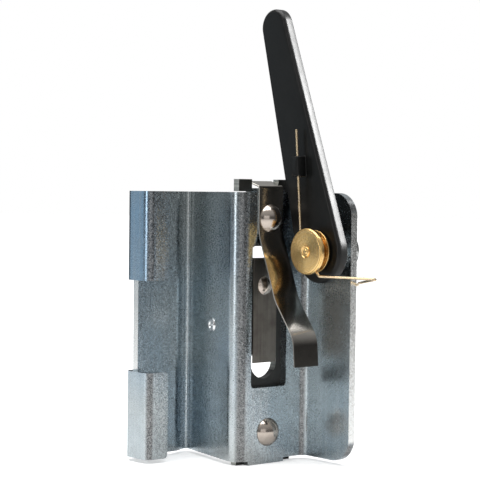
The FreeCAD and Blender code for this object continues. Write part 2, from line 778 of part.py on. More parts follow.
def lever_outline(sketch, base_radius, tip_radius):
    """Two arcs joined by their common tangents; the base arc is centred on the pivot."""
    reach = number("lever_reach")
    slope = math.asin((base_radius.number - tip_radius.number) / reach)
    up = FreeCAD.Vector(0, 0, 1)
    base = Part.Circle(FreeCAD.Vector(0, 0, 0), up, base_radius.number)
    tip = Part.Circle(FreeCAD.Vector(0, reach, 0), up, tip_radius.number)
    base_arc = sketch.addGeometry(Part.ArcOfCircle(base, math.pi - slope, 2 * math.pi + slope))
    tip_arc = sketch.addGeometry(Part.ArcOfCircle(tip, slope, math.pi - slope))

    def rim(radius, height, side):
        return FreeCAD.Vector(side * radius * math.cos(slope), height + radius * math.sin(slope), 0)

    right = sketch.addGeometry(Part.LineSegment(
        rim(base_radius.number, 0, 1), rim(tip_radius.number, reach, 1)))
    left = sketch.addGeometry(Part.LineSegment(
        rim(tip_radius.number, reach, -1), rim(base_radius.number, 0, -1)))
    sketch.addConstraint(Sketcher.Constraint("Tangent", base_arc, 2, right, 1))
    sketch.addConstraint(Sketcher.Constraint("Tangent", right, 2, tip_arc, 1))
    sketch.addConstraint(Sketcher.Constraint("Tangent", tip_arc, 2, left, 1))
    sketch.addConstraint(Sketcher.Constraint("Tangent", left, 2, base_arc, 1))
    sketch.addConstraint(Sketcher.Constraint("Coincident", base_arc, 3, -1, 1))
    sketch.addConstraint(Sketcher.Constraint("PointOnObject", tip_arc, 3, -2))
    for kind, index, value in (("Radius", base_arc, base_radius), ("Radius", tip_arc, tip_radius)):
        constraint = sketch.addConstraint(Sketcher.Constraint(kind, index, value.number))
        sketch.setExpression("Constraints[%d]" % constraint, value.text)
    constraint = sketch.addConstraint(Sketcher.Constraint("DistanceY", -1, 1, tip_arc, 3, reach))
    sketch.setExpression("Constraints[%d]" % constraint, "dims.lever_reach")


def lug_offset():
    """The lug's centre on the lever's face, in the lever's own upright frame."""
    turn = FreeCAD.Rotation(FreeCAD.Vector(0, 1, 0), number("lever_lean"))
    centre = FreeCAD.Vector(leg_x(number("lug_centre")) - number("pivot_x"), 0,
                            number("lug_centre") - number("pivot_height"))
    return turn.multVec(centre)


def make_lever():
    """Pressed shell, open at the back, that leans towards the slotted wall at rest."""
    body = new_body("lever")
    outline = new_sketch(body, "outline", "XZ_Plane")
    lever_outline(outline, size("lever_base_radius"), size("lever_tip_radius"))
    pad(body, outline, size("lever_depth"), reverse=True)

    def on_face(edge, middle, direction):
        return abs(middle.y) < NEAR and abs(direction.y) < NEAR

    fillet(body, size("lever_edge_round"), on_face)
    hollow = new_sketch(body, "hollow", "XZ_Plane", -size("lever_depth"))
    skin = size("lever_skin")
    lever_outline(hollow, size("lever_base_radius") - skin, size("lever_tip_radius") - skin)
    pocket(body, hollow, size("lever_depth") - skin, reverse=True)
    holes = new_sketch(body, "holes", "XZ_Plane")
    circle(holes, 0.0, 0.0, size("bush_radius"))
    spot = lug_offset()
    circle(holes, spot.x, spot.z, size("lug_spigot"))
    pocket(body, holes, size("lever_depth"))
    body.Placement = FreeCAD.Placement(
        FreeCAD.Vector(number("pivot_x"), number("lever_face"), number("pivot_height")),
        FreeCAD.Rotation(FreeCAD.Vector(0, 1, 0), -number("lever_lean")))
    return body


def make_spring_lug():
    """Block on the lever's face with an upright hole for the spring's leg and a spigot behind."""
    body = new_body("spring_lug")
    front = size("lug_front") - size("lever_face")
    half_width = size("lug_width") * 0.5
    half_height = size("lug_height") * 0.5
    block = new_sketch(body, "block", "XZ_Plane")
    rectangle(block, -half_width, half_width, -half_height, half_height)
    pad(body, block, -front)

    def outer_edge(edge, middle, direction):
        return middle.y < -NEAR

    fillet(body, size("lug_round"), outer_edge)
    spigot = new_sketch(body, "spigot", "XZ_Plane")
    circle(spigot, 0.0, 0.0, size("lug_spigot"))
    pad(body, spigot, size("lever_skin"), reverse=True)
    wire_hole = new_sketch(body, "wire_hole", "XY_Plane")
    circle(wire_hole, 0.0, coil_start_y() - number("lever_face"), size("lug_hole"))
    pocket(body, wire_hole, size("lug_height") * 2, midplane=True)
    body.Placement = FreeCAD.Placement(
        FreeCAD.Vector(leg_x(number("lug_centre")), number("lever_face"), number("lug_centre")),
        FreeCAD.Rotation(FreeCAD.Vector(0, 1, 0), -number("leg_lean")))
    return body


# ---------------------------------------------------------------- torsion spring

def coil_start_y():
    """The coil starts against the groove's rear side and steps forward as it winds."""
    groove_end = SPOOL_BACK.number - number("spool_back_flange")
    return groove_end - number("wire_radius") - number("coil_gap")


def coil_turn():
    """Angle of the whole coil, in degrees: from the upper leg, round once, to the foot of the disc."""
    return 450.0 - number("leg_lean")


def coil_point(angle_deg, radius):
    """Point of the coil: 0 degrees is where the upper leg meets it, on the lever side."""
    angle = math.radians(180.0 + number("leg_lean") + angle_deg)
    ease = number("coil_ease")
    share = (angle_deg - ease) / (coil_turn() - 2 * ease)
    share = min(max(share, 0.0), 1.0)
    return FreeCAD.Vector(number("pivot_x") + radius * math.cos(angle),
                          coil_start_y() - number("coil_step") * share,
                          number("pivot_height") + radius * math.sin(angle))


def leg_x(height):
    """X of the upper leg's centre line at a height."""
    start = coil_point(0.0, number("coil_radius"))
    return start.x - (height - start.z) * math.tan(math.radians(number("leg_lean")))


def rounded_path(points, radii):
    """Straight runs joined by tangent arcs.  A radius of None takes nearly half of the shorter run."""
    edges = []
    here = points[0]
    for previous, corner, following, radius in zip(points[:-2], points[1:-1], points[2:], radii):
        before = previous - corner
        after = following - corner
        shorter = min(before.Length, after.Length)
        before.normalize()
        after.normalize()
        half = before.getAngle(after) / 2
        cut = shorter * ARC_SHARE if radius is None else radius / math.tan(half)
        reach = cut * math.tan(half)
        bisector = before + after
        bisector.normalize()
        start = corner + before * cut
        end = corner + after * cut
        middle = corner + bisector * (reach / math.sin(half) - reach)
        edges.append(Part.LineSegment(here, start).toShape())
        edges.append(Part.Arc(start, middle, end).toShape())
        here = end
    edges.append(Part.LineSegment(here, points[-1]).toShape())
    return edges


def make_torsion_spring():
    """Wire spring: leg up through the lug, a turn and a quarter round the spool, and a lower leg
    that passes the flange's edge, doubles back at a sharp tip and hooks behind the flange."""
    step_angle = coil_turn() / COIL_RUNS
    corner_radius = number("coil_radius") / math.cos(math.radians(step_angle / 2))
    coil = [coil_point(step_angle * (step + 0.5), corner_radius) for step in range(COIL_RUNS)]
    top = FreeCAD.Vector(leg_x(number("leg_top")), coil[0].y, number("leg_top"))
    front_y = coil[-1].y
    coil_foot = number("pivot_height") - number("coil_radius")
    behind = FLANGE_BACK.number + number("wire_radius") + number("hook_gap")
    edge_x = number("flange_reach") + number("wire_radius") + number("edge_gap")
    swing = number("edge_swing")
    height = number("tip_height")
    lower_leg = [
        FreeCAD.Vector(number("pivot_x") + number("exit_run"), front_y, coil_foot),
        FreeCAD.Vector(number("pivot_x") + number("exit_reach"), front_y - number("exit_forward"),
                       height + number("exit_rise")),
        FreeCAD.Vector(number("tip_x"), number("tip_y"), height),
        FreeCAD.Vector(edge_x + swing, FLANGE_FACE.number + number("edge_depth"),
                       height - number("edge_drop")),
        FreeCAD.Vector(edge_x - swing, behind, height - number("hook_drop")),
        FreeCAD.Vector(edge_x - number("hook_reach"), behind, height - number("hook_end_drop")),
    ]
    bends = ("exit_bend", "exit_bend", "tip_bend", "edge_bend", "hook_bend")
    radii = [None] * COIL_RUNS + [number(bend) for bend in bends]
    spine = doc.addObject("Part::Feature", "spring_line")
    spine.Shape = Part.Wire(rounded_path([top] + coil + lower_leg, radii))
    section = doc.addObject("Part::Circle", "spring_section")
    bind(section, "Radius", size("wire_radius"))
    down = coil[0] - top
    section.Placement = FreeCAD.Placement(top, FreeCAD.Rotation(FreeCAD.Vector(0, 0, 1), down))
    spring = doc.addObject("Part::Sweep", "torsion_spring")
    spring.Label = "torsion_spring"
    spring.Sections = [section]
    spring.Spine = (spine, ["Edge%d" % (i + 1) for i in range(len(spine.Shape.Edges))])
    spring.Solid = True
    spring.Frenet = False
    doc.recompute()
    expected = spine.Shape.Length * math.pi * number("wire_radius") ** 2
    print("wire length %.1f mm, volume %.2f of %.2f mm3"
          % (spine.Shape.Length, spring.Shape.Volume, expected))
    return spring


# ---------------------------------------------------------------- build, check and write

make_bracket()
make_back_plate()
make_plate_rivets()
make_wall_rivet()
make_pivot_stack()
make_leaf_spring()
make_keeper_leaf()
make_lever()
make_spring_lug()
make_torsion_spring()
doc.recompute()

parts = [item for item in doc.Objects
         if item.TypeId == "PartDesign::Body" or item.Label == "torsion_spring"]
for item in doc.Objects:
    if "Invalid" in item.State or "Error" in item.State:
        raise RuntimeError("%s failed to compute: %s" % (item.Name, item.State))
for item in parts:
    if item.Shape.isNull() or not item.Shape.isValid():
        raise RuntimeError(item.Label + " has no valid shape")
    if len(item.Shape.Solids) != 1:
        raise RuntimeError("%s has %d solids" % (item.Label, len(item.Shape.Solids)))
os.makedirs("parts", exist_ok=True)
for item in parts:
    item.Shape.exportStep("parts/%s.step" % item.Label)
    box = item.Shape.BoundBox
    print("%-18s %9.1f mm3  X %.1f..%.1f  Y %.1f..%.1f  Z %.1f..%.1f" % (
        item.Label, item.Shape.Volume, box.XMin, box.XMax, box.YMin, box.YMax, box.ZMin, box.ZMax))
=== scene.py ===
import math

import bpy
from mathutils import Matrix, Vector


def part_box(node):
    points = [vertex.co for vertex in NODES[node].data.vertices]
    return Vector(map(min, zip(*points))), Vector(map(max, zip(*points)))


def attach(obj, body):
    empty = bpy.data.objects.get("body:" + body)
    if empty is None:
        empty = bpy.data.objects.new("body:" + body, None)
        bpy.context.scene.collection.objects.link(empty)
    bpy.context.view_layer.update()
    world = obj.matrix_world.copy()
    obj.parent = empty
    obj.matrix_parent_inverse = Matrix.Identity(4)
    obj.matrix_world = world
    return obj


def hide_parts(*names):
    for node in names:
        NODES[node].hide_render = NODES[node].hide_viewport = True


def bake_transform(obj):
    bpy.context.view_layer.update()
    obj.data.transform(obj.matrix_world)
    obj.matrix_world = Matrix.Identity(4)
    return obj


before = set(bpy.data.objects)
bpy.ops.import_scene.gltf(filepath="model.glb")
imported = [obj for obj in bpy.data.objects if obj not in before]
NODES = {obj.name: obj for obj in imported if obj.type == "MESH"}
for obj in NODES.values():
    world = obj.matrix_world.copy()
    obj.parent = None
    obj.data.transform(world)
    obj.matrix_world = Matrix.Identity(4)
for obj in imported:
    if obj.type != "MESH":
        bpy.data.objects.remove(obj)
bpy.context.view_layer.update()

MM = 0.001
GRAINS = 3200.0       # zinc grains per metre


def middle(node):
    low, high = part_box(node)
    return (low + high) / 2


# Places on the part, in millimetres; the ones written out are those of the slanted wall
PIVOT = middle("lever_bush") / MM
LEVER_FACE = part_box("lever")[0].y / MM
LEVER_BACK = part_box("lever")[1].y / MM
WALL_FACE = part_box("lower_rivet")[1].x / MM - 3.2
PLATE_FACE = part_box("back_plate")[1].x / MM
SPOOL_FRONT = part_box("spool")[0].y / MM
SPOOL_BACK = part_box("spool")[1].y / MM
RIDGE_Y = -16.0
VALLEY_X = -37.2
VALLEY_Y = -8.1
RIVET_X = -17.0
CHANNEL_EDGE = 34.4   # the channel wall's bare edge, forward of the middle plane
HOOK_BACK = -34.0
HOOK_FACE = -38.0
LEAF_TIP = 49.0       # painted shade: the leaf spring's colour is darkened below this height
FLANGE_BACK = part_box("bracket")[1].y / MM
FLANGE_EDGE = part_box("bracket")[1].x / MM


# ------------------------------------------------------------ node materials

class Finish:
    """A node material under construction."""

    def __init__(self, name):
        self.material = bpy.data.materials.new(name)
        self.material.use_nodes = True
        self.tree = self.material.node_tree
        self.shader = self.tree.nodes["Principled BSDF"]
        self.place = self.node("ShaderNodeTexCoord").outputs["Object"]

    def node(self, kind, **settings):
        made = self.tree.nodes.new(kind)
        for key, value in settings.items():
            setattr(made, key, value)
        return made

    def feed(self, socket, value):
        if isinstance(value, bpy.types.NodeSocket):
            self.tree.links.new(value, socket)
        else:
            socket.default_value = value

    def axes(self, vector):
        """The X, Y and Z of a vector."""
        made = self.node("ShaderNodeSeparateXYZ")
        self.feed(made.inputs[0], vector)
        return made.outputs

    def math(self, operation, a, b=0.0, c=0.0):
        made = self.node("ShaderNodeMath", operation=operation)
        for socket, value in zip(made.inputs, (a, b, c)):
            self.feed(socket, value)
        return made.outputs[0]

    def stretched(self, scale):
        made = self.node("ShaderNodeMapping")
        self.feed(made.inputs["Vector"], self.place)
        made.inputs["Scale"].default_value = scale
        return made.outputs["Vector"]

    def noise(self, scale, detail=3.0, rough=0.55, stretch=None, distortion=0.0):
        made = self.node("ShaderNodeTexNoise")
        self.feed(made.inputs["Vector"], self.stretched(stretch) if stretch else self.place)
        made.inputs["Scale"].default_value = scale
        made.inputs["Detail"].default_value = detail
        made.inputs["Roughness"].default_value = rough
        made.inputs["Distortion"].default_value = distortion
        return made.outputs["Fac"]

    def cells(self, scale):
        """A random colour for each small cell."""
        made = self.node("ShaderNodeTexVoronoi", feature="F1")
        self.feed(made.inputs["Vector"], self.place)
        made.inputs["Scale"].default_value = scale
        return made.outputs["Color"]

    def ramp(self, value, stops):
        made = self.node("ShaderNodeValToRGB")
        self.feed(made.inputs["Fac"], value)
        ramp = made.color_ramp
        while len(ramp.elements) < len(stops):
            ramp.elements.new(0.5)
        for element, (position, colour) in zip(ramp.elements, stops):
            element.position = position
            element.color = (*colour, 1.0)
        return made.outputs["Color"]

    def level(self, value, low, high, start=0.0, end=1.0):
        made = self.node("ShaderNodeMapRange")
        self.feed(made.inputs["Value"], value)
        made.inputs["From Min"].default_value = low
        made.inputs["From Max"].default_value = high
        made.inputs["To Min"].default_value = start
        made.inputs["To Max"].default_value = end
        return made.outputs["Result"]

    def mix(self, share, a, b, mode="MIX"):
        made = self.node("ShaderNodeMix", data_type="RGBA", blend_type=mode)
        self.feed(made.inputs["Factor"], share)
        for name, value in (("A", a), ("B", b)):
            socket = [s for s in made.inputs if s.name == name and s.type == "RGBA"][0]
            self.feed(socket, (*value, 1.0) if isinstance(value, tuple) else value)
        return [s for s in made.outputs if s.type == "RGBA"][0]

    def bump(self, height, strength, distance, after=None):
        made = self.node("ShaderNodeBump")
        self.feed(made.inputs["Height"], height)
        made.inputs["Strength"].default_value = strength
        made.inputs["Distance"].default_value = distance
        if after is not None:
            self.feed(made.inputs["Normal"], after)
        return made.outputs["Normal"]

    def facets(self, scale, tilt):
        """Normals of small flat grains, each tipped a little its own way."""
        centred = self.node("ShaderNodeVectorMath", operation="SUBTRACT")
        self.feed(centred.inputs[0], self.cells(scale))
        centred.inputs[1].default_value = (0.5, 0.5, 0.5)
        tipped = self.node("ShaderNodeVectorMath", operation="SCALE")
        self.feed(tipped.inputs[0], centred.outputs[0])
        self.feed(tipped.inputs["Scale"], tilt)
        total = self.node("ShaderNodeVectorMath", operation="ADD")
        self.feed(total.inputs[0], self.node("ShaderNodeNewGeometry").outputs["Normal"])
        self.feed(total.inputs[1], tipped.outputs[0])
        unit = self.node("ShaderNodeVectorMath", operation="NORMALIZE")
        self.feed(unit.inputs[0], total.outputs[0])
        return unit.outputs[0]

    def set(self, **inputs):
        for name, value in inputs.items():
            self.feed(self.shader.inputs[name.replace("_", " ")], value)


def zinc_finish():
    """Zinc-plated sheet: cool tint that drifts over the sheet, rolled streaks and fine bright grains
    that lie at slightly different angles, coarser on the faces that took the forming."""
    f = Finish("zinc_plate")
    facing = f.axes(f.node("ShaderNodeNewGeometry").outputs["True Normal"])
    smooth = f.axes(f.node("ShaderNodeNewGeometry").outputs["Normal"])
    spot = f.axes(f.place)
    formed = f.level(facing["X"], 0.35, 0.95)
    drift = f.noise(17.0, 2.0, 0.5)
    streaks = f.noise(1.0, 3.0, 0.6, stretch=(700.0, 700.0, 6.0))
    clouds = f.noise(90.0, 4.0, 0.6)
    grain = f.node("ShaderNodeSeparateColor")
    f.feed(grain.inputs[0], f.cells(GRAINS))

    # tint, with a painted bluish reflection towards the top of the hooks' outer face
    tint = f.ramp(drift, [(0.30, (0.40, 0.50, 0.58)), (0.50, (0.49, 0.56, 0.59)), (0.72, (0.56, 0.57, 0.55))])
    painted_blue_reflection = f.math("MULTIPLY", f.level(spot["Y"], HOOK_BACK * MM, HOOK_FACE * MM),
                  f.level(spot["Z"], 0.02, 0.085))
    # painted reflection: the hooks' outer face turns bluer towards its top
    tint = f.mix(f.math("MULTIPLY", painted_blue_reflection, 0.65), tint, (0.20, 0.44, 0.70))
    toned = f.mix(f.level(streaks, 0.35, 0.7, 0.0, 0.35), tint, (0.76, 0.79, 0.80))
    toned = f.mix(f.level(clouds, 0.35, 0.65, 0.0, 0.22), toned, (0.36, 0.38, 0.40))
    depth = f.math("MULTIPLY_ADD", formed, 0.50, 0.16)
    speckle = f.math("MULTIPLY", f.level(grain.outputs[0], 0.2, 1.0), depth)
    toned = f.mix(speckle, toned, (0.22, 0.22, 0.22))

    # bare, brighter metal on the sheared edges
    flange_end = f.level(spot["X"], FLANGE_EDGE * MM - 0.0003, FLANGE_EDGE * MM - 0.0001)
    from_channel_edge = f.math("ABSOLUTE", f.math("ADD", spot["Y"], CHANNEL_EDGE * MM))
    channel_edge = f.math("MULTIPLY", f.level(facing["Y"], -0.9, -0.99),
                          f.level(from_channel_edge, 0.0003, 0.0001))
    edges = f.math("MAXIMUM", flange_end, channel_edge)
    bare = f.math("MULTIPLY", edges, f.level(grain.outputs[2], 0.0, 1.0, 0.6, 1.0))
    toned = f.mix(bare, toned, (0.97, 0.97, 0.95))

    # painted shade, speckled by the grains, round the outer bends
    bends = f.math("MULTIPLY", f.level(smooth["X"], 0.50, 0.72), f.level(smooth["X"], 0.998, 0.95))
    outer = f.math("MAXIMUM", f.level(spot["X"], -0.020, -0.015), f.level(spot["Y"], -0.025, -0.030))
    # painted shade: dark grain-speckled colour laid on the bends by their normal direction
    painted_bend_shade = f.mix(grain.outputs[1], (0.02, 0.02, 0.02), (0.36, 0.36, 0.36))
    toned = f.mix(f.math("MULTIPLY", f.math("MULTIPLY", bends, outer), 0.85), toned, painted_bend_shade)

    normal = f.facets(GRAINS, f.math("MULTIPLY_ADD", formed, 0.085, 0.04))
    normal = f.bump(streaks, 0.05, 0.0002, normal)
    rough = f.math("ADD", f.level(clouds, 0.3, 0.7, 0.17, 0.25), f.math("MULTIPLY", grain.outputs[1], 0.08))
    f.set(Base_Color=toned, Metallic=1.0, Roughness=rough, Normal=normal)
    return f.material


def black_finish():
    """Satin black coat with a fine orange peel and a few paler rubbed spots."""
    f = Finish("black_paint")
    peel = f.noise(900.0, 2.0, 0.5)
    dust = f.noise(2600.0, 2.0, 0.5)
    rubbed = f.noise(60.0, 4.0, 0.7)
    colour = f.mix(f.level(rubbed, 0.45, 0.75, 0.0, 0.5), (0.003, 0.0032, 0.0031), (0.009, 0.0095, 0.009))
    colour = f.mix(f.level(dust, 0.66, 0.74, 0.0, 0.25), colour, (0.05, 0.052, 0.052))
    rough = f.level(rubbed, 0.3, 0.7, 0.30, 0.40)
    normal = f.bump(peel, 0.10, 0.0001)
    f.set(Base_Color=colour, Roughness=rough, Normal=normal)
    f.shader.inputs["Specular IOR Level"].default_value = 0.30
    return f.material


def oxide_finish():
    """Black oxide plate whose sheared end faces are bare, paler steel."""
    f = Finish("black_steel")
    facing = f.axes(f.node("ShaderNodeNewGeometry").outputs["True Normal"])
    cut_end = f.level(f.math("ABSOLUTE", facing["Y"]), 0.8, 0.95)
    grain = f.noise(1100.0, 4.0, 0.65)
    shear = f.noise(1.0, 3.0, 0.6, stretch=(60.0, 60.0, 1400.0))
    black = f.mix(f.level(grain, 0.5, 0.75, 0.0, 0.5), (0.012, 0.012, 0.010), (0.045, 0.042, 0.036))
    bare = f.mix(f.level(shear, 0.35, 0.65), (0.62, 0.62, 0.58), (0.34, 0.35, 0.33))
    f.set(Base_Color=f.mix(cut_end, black, bare), Metallic=f.math("MULTIPLY", cut_end, 0.9),
          Roughness=f.level(grain, 0.3, 0.7, 0.32, 0.55), Normal=f.bump(grain, 0.25, 0.0001))
    return f.material


def polished_finish(name, colour, shade, roughness, tip=None):
    """Bright steel with hairline scratches and faint smears; painted shade makes it darker below the height
    of a tip.
    """
    f = Finish(name)
    smear = f.noise(140.0, 4.0, 0.6, distortion=1.5)
    hair = f.noise(1.0, 4.0, 0.7, stretch=(2600.0, 2600.0, 130.0))
    tone = f.mix(f.level(smear, 0.35, 0.7, 0.0, 0.6), colour, shade)
    if tip is not None:
        # painted shade: below the tip's height the colour is darkened
        painted_tip_shade = f.level(f.axes(f.place)["Z"], tip + 0.003, tip - 0.003, 0.0, 0.75)
        tone = f.mix(painted_tip_shade, tone, (0.07, 0.065, 0.06))
    rough = f.math("ADD", f.level(smear, 0.3, 0.7, 0.0, 0.05), roughness)
    f.set(Base_Color=tone, Metallic=1.0, Roughness=rough, Normal=f.bump(hair, 0.05, 0.00005))
    return f.material


def brass_finish():
    """Turned brass: fine concentric tool marks round the pivot axis."""
    f = Finish("turned_brass")
    centred = f.node("ShaderNodeVectorMath", operation="SUBTRACT")
    f.feed(centred.inputs[0], f.place)
    centred.inputs[1].default_value = (PIVOT.x * MM, 0.0, PIVOT.z * MM)
    flat = f.node("ShaderNodeVectorMath", operation="MULTIPLY")
    f.feed(flat.inputs[0], centred.outputs[0])
    flat.inputs[1].default_value = (1.0, 0.0, 1.0)
    length = f.node("ShaderNodeVectorMath", operation="LENGTH")
    f.feed(length.inputs[0], flat.outputs[0])
    radius = length.outputs["Value"]
    marks = f.math("SINE", f.math("MULTIPLY", radius, 2 * math.pi / 0.00032))
    wide = f.math("SINE", f.math("MULTIPLY", radius, 2 * math.pi / 0.0017))
    smear = f.noise(260.0, 3.0, 0.6)
    tone = f.mix(f.level(smear, 0.35, 0.7, 0.0, 0.55), (0.90, 0.60, 0.24), (0.74, 0.45, 0.16))
    tone = f.mix(f.level(wide, -1.0, 1.0, 0.0, 0.25), tone, (0.98, 0.76, 0.42))
    rough = f.math("ADD", f.level(smear, 0.3, 0.7, 0.18, 0.30), f.math("MULTIPLY", marks, 0.03))
    normal = f.bump(marks, 0.22, 0.00006)
    f.set(Base_Color=tone, Metallic=1.0, Roughness=rough, Normal=f.bump(smear, 0.08, 0.0001, normal))
    return f.material


def keeper_finish():
    """Dull rolled strip, brown-grey, with lengthwise roll lines."""
    f = Finish("keeper_steel")
    rolled = f.noise(1.0, 4.0, 0.6, stretch=(900.0, 900.0, 14.0))
    stain = f.noise(110.0, 4.0, 0.65)
    tone = f.mix(f.level(rolled, 0.3, 0.7), (0.17, 0.15, 0.13), (0.24, 0.215, 0.19))
    tone = f.mix(f.level(stain, 0.45, 0.75, 0.0, 0.6), tone, (0.08, 0.065, 0.055))
    rough = f.level(rolled, 0.3, 0.7, 0.26, 0.40)
    f.set(Base_Color=tone, Metallic=1.0, Roughness=rough, Normal=f.bump(rolled, 0.15, 0.00008))
    return f.material


def wire_finish():
    """Drawn wire with a warm heat tint."""
    f = Finish("spring_wire")
    drawn = f.noise(700.0, 3.0, 0.6)
    tone = f.mix(f.level(drawn, 0.3, 0.7), (0.72, 0.55, 0.33), (0.58, 0.47, 0.34))
    rough = f.level(drawn, 0.3, 0.7, 0.18, 0.30)
    f.set(Base_Color=tone, Metallic=1.0, Roughness=rough, Normal=f.bump(drawn, 0.10, 0.00006))
    return f.material


ZINC = zinc_finish()
BLACK = black_finish()
OXIDE = oxide_finish()
POLISHED = polished_finish("polished_steel", (0.58, 0.51, 0.45), (0.40, 0.34, 0.29), 0.15)
MIRROR = polished_finish("spring_steel", (0.62, 0.59, 0.54), (0.48, 0.45, 0.41), 0.13,
                         tip=LEAF_TIP * MM)
BRASS = brass_finish()
KEEPER = keeper_finish()
WIRE = wire_finish()
BRIGHT = polished_finish("bright_zinc", (0.86, 0.87, 0.88), (0.66, 0.68, 0.70), 0.16)


def dress(node, material):
    """Give a CAD node its finish."""
    mesh = NODES[node].data
    for index in range(len(mesh.materials)):
        mesh.materials[index] = material


# ------------------------------------------------------------ mesh helpers

def piece(name, points, faces, material, body=None):
    """A smooth-shaded mesh from points in millimetres."""
    mesh = bpy.data.meshes.new(name)
    mesh.from_pydata([Vector(p) * MM for p in points], [], faces)
    mesh.validate()
    mesh.materials.append(material)
    mesh.shade_smooth()
    made = bpy.data.objects.new(name, mesh)
    bpy.context.scene.collection.objects.link(made)
    sharpen(made)
    if body:
        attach(made, body)
    return made


def sharpen(made, degrees=38.0):
    """Mark edges that turn by more than this as sharp, so flat faces stay flat."""
    mesh = made.data
    limit = math.radians(degrees)
    normals = [polygon.normal.copy() for polygon in mesh.polygons]
    sides = {}
    for polygon in mesh.polygons:
        for key in polygon.edge_keys:
            sides.setdefault(key, []).append(polygon.index)
    for edge in mesh.edges:
        owners = sides.get(tuple(sorted(edge.vertices)), [])
        if len(owners) == 2 and normals[owners[0]].angle(normals[owners[1]], 0.0) > limit:
            edge.use_edge_sharp = True


def loft(name, rings, material, body=None):
    """Skin a list of equal closed rings, with a flat cap at each end."""
    count = len(rings[0])
    points = [p for ring in rings for p in ring]
    faces = []
    for r in range(len(rings) - 1):
        for i in range(count):
            j = (i + 1) % count
            faces.append((r * count + i, r * count + j, (r + 1) * count + j, (r + 1) * count + i))
    faces.append(tuple(reversed(range(count))))
    faces.append(tuple(range((len(rings) - 1) * count, len(rings) * count)))
    return piece(name, points, faces, material, body)


def rounded(points, radii, step=8.0):
    """The polyline with each inner corner turned into an arc of the given radius."""
    line = [Vector(points[0])]
    for a, b, c, radius in zip(points[:-2], points[1:-1], points[2:], radii):
        a, b, c = Vector(a), Vector(b), Vector(c)
        before = (a - b).normalized()
        after = (c - b).normalized()
        half = before.angle(after) / 2
        if radius <= 0 or half > math.pi / 2 - 1e-4:
            line.append(b)
            continue
        cut = radius / math.tan(half)
        centre = b + (before + after).normalized() * (radius / math.sin(half))
        start = b + before * cut - centre
        end = b + after * cut - centre
        turn = start.angle(end)
        steps = max(2, math.ceil(math.degrees(turn) / step))
        for i in range(steps + 1):
            share = i / steps
            arm = (start * math.sin((1 - share) * turn) + end * math.sin(share * turn)) / math.sin(turn)
            line.append(centre + arm)
    line.append(Vector(points[-1]))
    return line


def lathe(name, outline, origin, axis, material, body, segments=96):
    """Turn an (along, radius) outline about an axis; the outline starts and ends on the axis."""
    axis = Vector(axis).normalized()
    side = axis.orthogonal().normalized()
    other = axis.cross(side)
    origin = Vector(origin)
    points = [origin + axis * outline[0][0]]
    for along, radius in outline[1:-1]:
        for i in range(segments):
            angle = 2 * math.pi * i / segments
            arm = side * math.cos(angle) + other * math.sin(angle)
            points.append(origin + axis * along + arm * radius)
    points.append(origin + axis * outline[-1][0])
    rings = len(outline) - 2
    faces = []
    for i in range(segments):
        j = (i + 1) % segments
        faces.append((0, 1 + j, 1 + i))
        for r in range(rings - 1):
            a = 1 + r * segments
            b = a + segments
            faces.append((a + i, a + j, b + j, b + i))
        last = 1 + (rings - 1) * segments
        faces.append((last + i, last + j, len(points) - 1))
    return piece(name, points, faces, material, body)


def flat_outline(points, radii):
    """Rounded outline for the lathe from (along, radius) corners."""
    line = rounded([(a, r, 0.0) for a, r in points], radii, 15.0)
    return [(p.x, max(p.y, 0.0)) for p in line]


def tube_rings(path, radius, count=20):
    """Circles along a path, carried without twist."""
    tangents = []
    for i in range(len(path)):
        before = path[max(i - 1, 0)]
        after = path[min(i + 1, len(path) - 1)]
        tangents.append((after - before).normalized())
    side = tangents[0].orthogonal().normalized()
    rings = []
    for i, (centre, tangent) in enumerate(zip(path, tangents)):
        side = (side - tangent * side.dot(tangent)).normalized()
        other = tangent.cross(side)
        size = radius(i / (len(path) - 1)) if callable(radius) else radius
        rings.append([centre + (side * math.cos(a) + other * math.sin(a)) * size
                      for a in (2 * math.pi * k / count for k in range(count))])
    return rings


# ------------------------------------------------------------ leaves

def strip(name, line, gauge, width, material, edge=0.1):
    """Strip along Y from a side line of (X, Z) points on its face; the back is on the right."""
    path = [Vector((x, 0.0, z)) for x, z in line]
    rings = []
    for i, here in enumerate(path):
        run = (path[min(i + 1, len(path) - 1)] - path[max(i - 1, 0)]).normalized()
        back = Vector((run.z, 0.0, -run.x))
        half = width / 2
        section = [(0.0, -half + edge), (edge, -half), (gauge - edge, -half), (gauge, -half + edge),
                   (gauge, half - edge), (gauge - edge, half), (edge, half), (0.0, half - edge)]
        rings.append([here + back * depth + Vector((0.0, y, 0.0)) for depth, y in section])
    return loft(name, rings, material)


def subdivided(line, length):
    """Split long runs of a line so that it can bend smoothly."""
    made = [line[0]]
    for a, b in zip(line[:-1], line[1:]):
        parts = max(1, math.ceil((b - a).length / length))
        made += [a.lerp(b, (k + 1) / parts) for k in range(parts)]
    return made


def make_leaf_spring():
    """Mirror-bright strip: tail over the wall's top edge, seat, and the cranked blade."""
    face = WALL_FACE + 0.5
    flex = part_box("leaf_spring_seat")[0].z / MM
    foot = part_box("leaf_spring_blade")[0].z / MM
    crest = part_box("leaf_spring_seat")[1].z / MM - 1.9
    tail_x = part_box("leaf_spring_seat")[0].x / MM + 0.15
    corners = [(tail_x, 0, crest + 1.9), (face, 0, crest), (face, 0, flex), (face + 9.6, 0, flex - 24.5),
               (face + 19.7, 0, flex - 37.6), (face + 20.5, 0, foot)]
    line = subdivided(rounded(corners, [1.2, 14.0, 16.0, 11.0], 3.0), 1.5)
    made = strip("leaf_spring", [(p.x, p.z) for p in line], 0.5, 11.8, MIRROR)
    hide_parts("leaf_spring_seat", "leaf_spring_blade")
    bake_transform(made)


